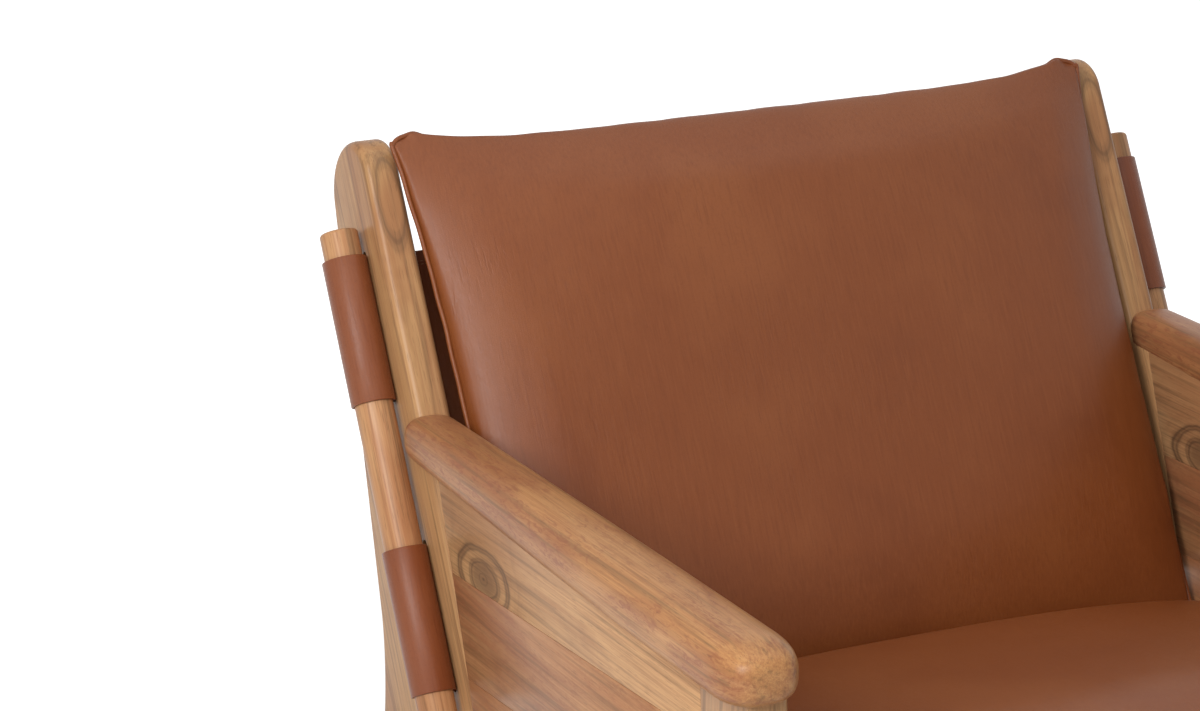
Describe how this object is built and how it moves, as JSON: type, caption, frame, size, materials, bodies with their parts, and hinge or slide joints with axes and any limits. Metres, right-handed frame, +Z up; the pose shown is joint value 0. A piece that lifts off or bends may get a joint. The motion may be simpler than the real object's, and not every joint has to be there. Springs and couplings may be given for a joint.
{
  "type": "lounge chair",
  "caption": "Solid wood lounge chair with plank side frames, leather back and seat slings held by outside dowels, and loose leather back and seat cushions.",
  "frame": {"origin": "on the floor under the middle of the chair's overall outline", "axes": "+Z up, +Y to the rear, +X to the sitter's left; the chair faces -Y"},
  "size_m": [0.8618, 0.849, 0.7634],
  "materials": {
    "frame_wood": "satin oiled",
    "board_wood": "satin oiled",
    "arm_wood": "satin oiled",
    "dowel_wood": "satin oiled",
    "sling_leather": "smooth semi-matt",
    "cushion_leather": "smooth satin",
    "bolt_steel": "zinc plated",
    "glide_felt": "dense felt"
  },
  "bodies": {
    "frame": {"rear_leg_right": "frame_wood", "front_leg_right": "frame_wood", "side_board_upper_right": "board_wood", "side_board_middle_right": "board_wood", "seat_rail_right": "board_wood", "armrest_right": "arm_wood", "arm_tenon_right": "frame_wood", "glide_rear_right": "glide_felt", "glide_front_right": "glide_felt", "back_dowel_right": "dowel_wood", "seat_dowel_right": "dowel_wood", "plug_front_upper_right": "dowel_wood", "bolt_front_upper_right": "bolt_steel", "barrel_nut_front_upper_right": "bolt_steel", "plug_front_lower_right": "dowel_wood", "bolt_front_lower_right": "bolt_steel", "barrel_nut_front_lower_right": "bolt_steel", "plug_rear_upper_right": "dowel_wood", "bolt_rear_upper_right": "bolt_steel", "barrel_nut_rear_upper_right": "bolt_steel", "plug_rear_lower_right": "dowel_wood", "bolt_rear_lower_right": "bolt_steel", "barrel_nut_rear_lower_right": "bolt_steel", "rear_leg_left": "frame_wood", "front_leg_left": "frame_wood", "side_board_upper_left": "board_wood", "side_board_middle_left": "board_wood", "seat_rail_left": "board_wood", "armrest_left": "arm_wood", "arm_tenon_left": "frame_wood", "glide_rear_left": "glide_felt", "glide_front_left": "glide_felt", "back_dowel_left": "dowel_wood", "seat_dowel_left": "dowel_wood", "plug_front_upper_left": "dowel_wood", "bolt_front_upper_left": "bolt_steel", "barrel_nut_front_upper_left": "bolt_steel", "plug_front_lower_left": "dowel_wood", "bolt_front_lower_left": "bolt_steel", "barrel_nut_front_lower_left": "bolt_steel", "plug_rear_upper_left": "dowel_wood", "bolt_rear_upper_left": "bolt_steel", "barrel_nut_rear_upper_left": "bolt_steel", "plug_rear_lower_left": "dowel_wood", "bolt_rear_lower_left": "bolt_steel", "barrel_nut_rear_lower_left": "bolt_steel", "front_stretcher": "frame_wood", "rear_stretcher": "frame_wood", "back_stretcher": "frame_wood", "back_sling": "sling_leather", "seat_sling": "sling_leather"},
    "back_cushion": {"back_cushion": "cushion_leather"},
    "seat_cushion": {"seat_cushion": "cushion_leather"}
  },
  "joints": [
    {"name": "back_cushion_slide", "type": "slide", "parent": "frame", "child": "back_cushion", "axis": [0, 0.4772, 0.8788], "range_m": [0, 0.58]},
    {"name": "seat_cushion_slide", "type": "slide", "parent": "frame", "child": "seat_cushion", "axis": [0, -0.989, 0.1478], "range_m": [0, 0.52]}
  ]
}
